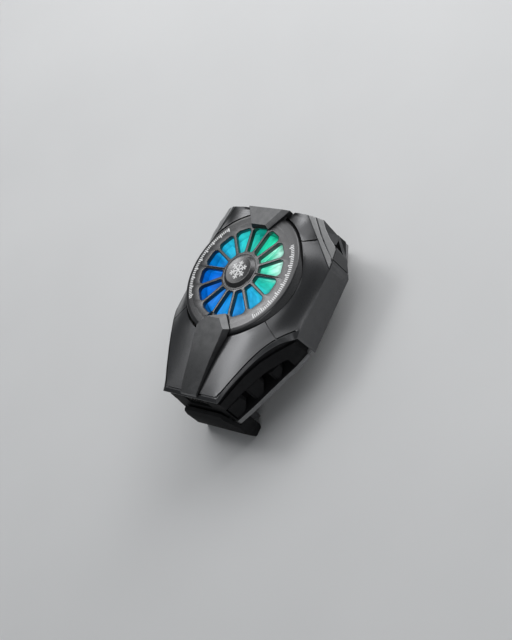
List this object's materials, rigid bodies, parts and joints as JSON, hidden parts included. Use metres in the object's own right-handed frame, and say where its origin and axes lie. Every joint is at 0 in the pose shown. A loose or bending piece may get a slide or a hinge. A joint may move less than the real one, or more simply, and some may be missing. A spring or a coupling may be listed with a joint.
{
  "type": "phone cooling fan",
  "caption": "Clip-on thermoelectric phone cooler: ducted fan behind a round spoked grille, cold plate on the back, and two sprung jaws that grip a phone across its width.",
  "frame": {"origin": "centre of the cold face, on the fan axis, where the contact pad meets a phone's back", "axes": "+Z along the fan axis out of the grille, +Y along the body towards the head end, -Z out of the cold face"},
  "size_m": [0.0584, 0.0758, 0.031],
  "materials": {
    "shell_grey": "satin gunmetal grey, fine grained",
    "grille_grey": "satin gunmetal grey",
    "rib_grey": "satin gunmetal grey",
    "trim_light": "satin light grey",
    "frame_dark": "matte black",
    "base_grey": "matte dark grey",
    "silicone_grey": "soft thermal silicone",
    "aluminium": "milled",
    "foam_black": "closed-cell foam",
    "ceramic_white": "unglazed alumina",
    "pellet_grey": "sintered",
    "lead_red": "insulated wire",
    "lead_black": "flat insulated lead",
    "light_guide": "milky light guide, lit blue to green",
    "pcb_green": "solder mask",
    "led_lens": "lit lens",
    "bronze": "sintered bronze",
    "steel_grey": "laminated steel",
    "copper": "enamelled copper wire",
    "chip_black": "moulded resin",
    "screw_steel": "machined steel",
    "plated_steel": "nickel plated",
    "spring_steel": "spring wire",
    "blade_clear": "milky translucent, lit blue to green",
    "ferrite": "bonded ferrite",
    "slide_steel": "stamped steel",
    "jaw_black": "satin black",
    "silicone_black": "soft silicone"
  },
  "bodies": {
    "housing": {"front_shell": "shell_grey", "fan_grille": "grille_grey", "hub_cap": "grille_grey", "nose_rib": "rib_grey", "head_wedge": "rib_grey", "corner_trim_left": "trim_light", "corner_trim_right": "trim_light", "rear_housing": "frame_dark", "base_plate": "base_grey", "contact_pad": "silicone_grey", "cold_plate": "aluminium", "insulation_frame": "foam_black", "peltier_ceramics": "ceramic_white", "peltier_elements": "pellet_grey", "peltier_leads": "lead_red", "heat_sink": "aluminium", "fan_frame": "frame_dark", "light_ring": "light_guide", "led_board": "pcb_green", "leds": "led_lens", "bearing_sleeve": "bronze", "stator_core": "steel_grey", "stator_coils": "copper", "motor_board": "pcb_green", "fan_lead": "lead_black", "control_board": "pcb_green", "board_components": "chip_black", "board_screws": "screw_steel", "usb_receptacle": "plated_steel", "usb_tongue": "chip_black", "case_screws": "screw_steel", "rail_guides": "frame_dark", "head_springs": "spring_steel", "tail_springs": "spring_steel"},
    "rotor": {"fan_impeller": "blade_clear", "rotor_yoke": "steel_grey", "rotor_magnet": "ferrite", "rotor_shaft": "screw_steel"},
    "head_clamp": {"head_slide": "slide_steel", "head_jaw": "jaw_black", "head_jaw_pad": "silicone_black"},
    "tail_clamp": {"tail_slide": "slide_steel", "tail_jaw": "jaw_black", "tail_jaw_pad": "silicone_black"}
  },
  "joints": [
    {"name": "fan_spin", "type": "hinge", "parent": "housing", "child": "rotor", "pos_m": [0, 0, 0.0145], "axis": [0, 0, 1], "continuous": true},
    {"name": "head_jaw_slide", "type": "slide", "parent": "housing", "child": "head_clamp", "axis": [0, 1, 0], "range_m": [0, 0.012], "stiffness_N_per_m": 250, "springref_m": -0.012, "deforming": ["head_springs"]},
    {"name": "tail_jaw_slide", "type": "slide", "parent": "housing", "child": "tail_clamp", "axis": [0, -1, 0], "range_m": [0, 0.012], "stiffness_N_per_m": 250, "springref_m": -0.012, "deforming": ["tail_springs"]}
  ]
}
